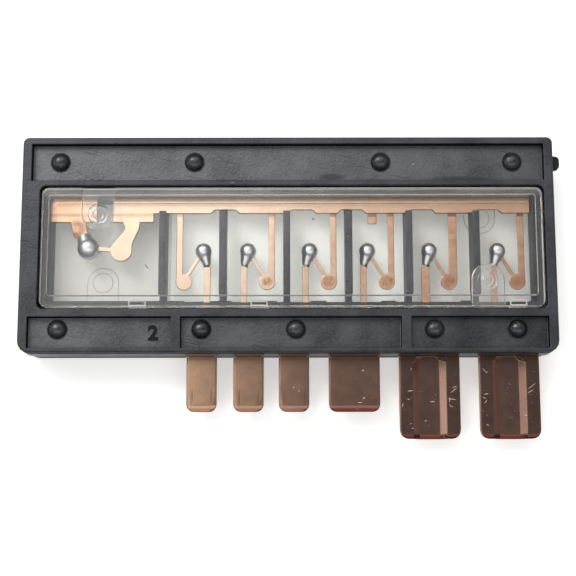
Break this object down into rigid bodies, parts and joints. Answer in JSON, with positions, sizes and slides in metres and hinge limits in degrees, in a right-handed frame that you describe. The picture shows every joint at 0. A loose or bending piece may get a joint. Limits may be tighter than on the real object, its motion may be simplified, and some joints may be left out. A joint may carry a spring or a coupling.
{
  "type": "fuse block",
  "caption": "Flat black fuse block: a stamped copper element with tin pellets shows through clear covers, and its spade blades stick out along one long edge.",
  "frame": {"origin": "under the middle of the whole block's box, in the plane of its flat back", "axes": "+X along the body's length, the blades point to -Y, +Z out of the front face; the block lies on its back"},
  "size_m": [0.0842, 0.047, 0.009],
  "materials": {
    "black_plastic": "fine satin moulding, darker and glossier in the recesses, faint handling marks",
    "clear_plastic": "clear moulded polycarbonate with a few fine scratches",
    "copper": "rolled copper-alloy sheet, bright in the window and browner on the blades",
    "tin": "bright tin set from the melt"
  },
  "bodies": {
    "root": {"front_shell": "black_plastic", "rear_shell": "black_plastic", "front_cover": "clear_plastic", "rear_cover": "clear_plastic", "element_plate": "copper", "main_pellet": "tin", "tin_pellet_1": "tin", "tin_pellet_2": "tin", "tin_pellet_3": "tin", "tin_pellet_4": "tin", "tin_pellet_5": "tin", "tin_pellet_6": "tin"}
  },
  "joints": []
}
